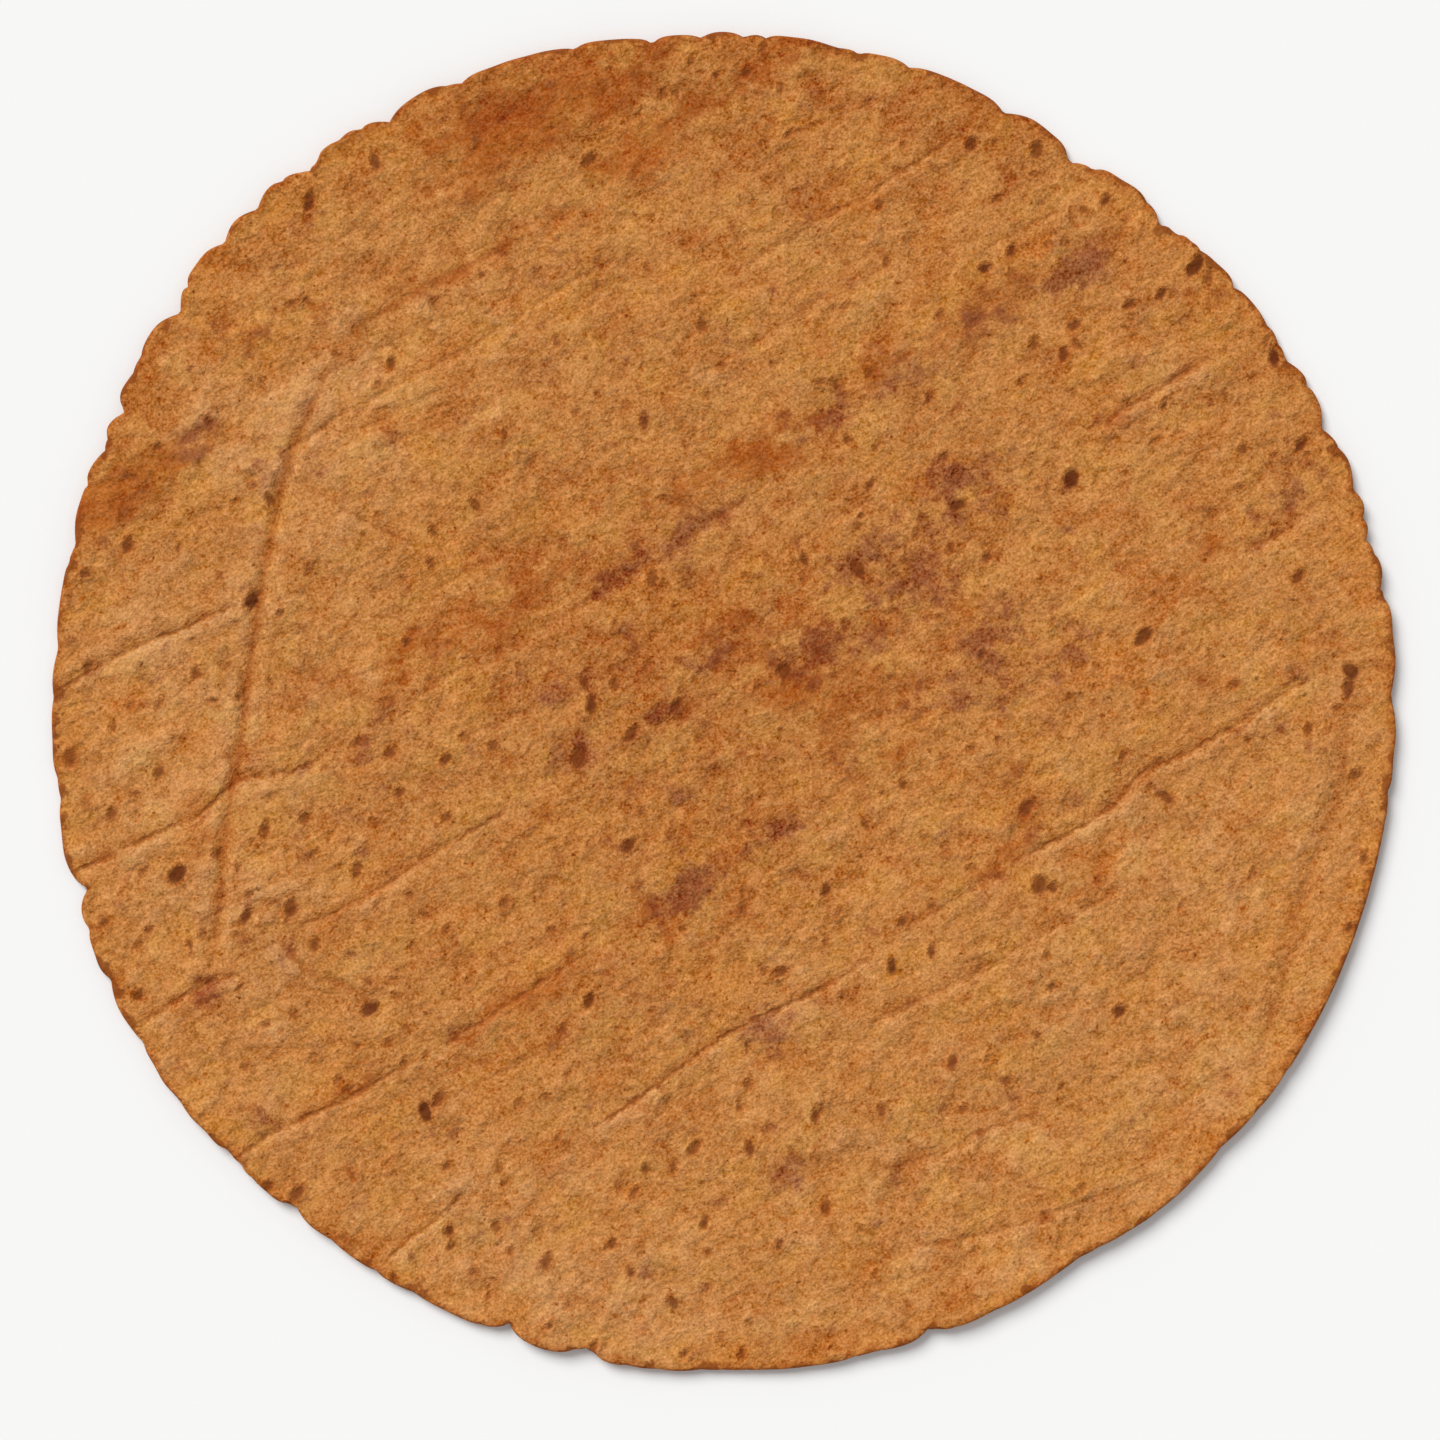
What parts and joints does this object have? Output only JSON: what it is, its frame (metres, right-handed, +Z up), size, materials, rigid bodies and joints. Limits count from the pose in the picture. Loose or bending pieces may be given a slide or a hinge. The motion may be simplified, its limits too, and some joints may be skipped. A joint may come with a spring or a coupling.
{
  "type": "tortilla",
  "caption": "Round soft wrap tortilla, a thin baked dough sheet lying flat, with a scalloped rim that lifts slightly.",
  "frame": {"origin": "on the resting surface, under the middle of the outline's box", "axes": "+Z up out of the baked face, X and Y in the resting surface; the broad dent in the rim is towards +X -Y"},
  "size_m": [0.255, 0.254, 0.0031],
  "materials": {
    "baked_dough": "matte"
  },
  "bodies": {
    "root": {"tortilla": "baked_dough"}
  },
  "joints": []
}
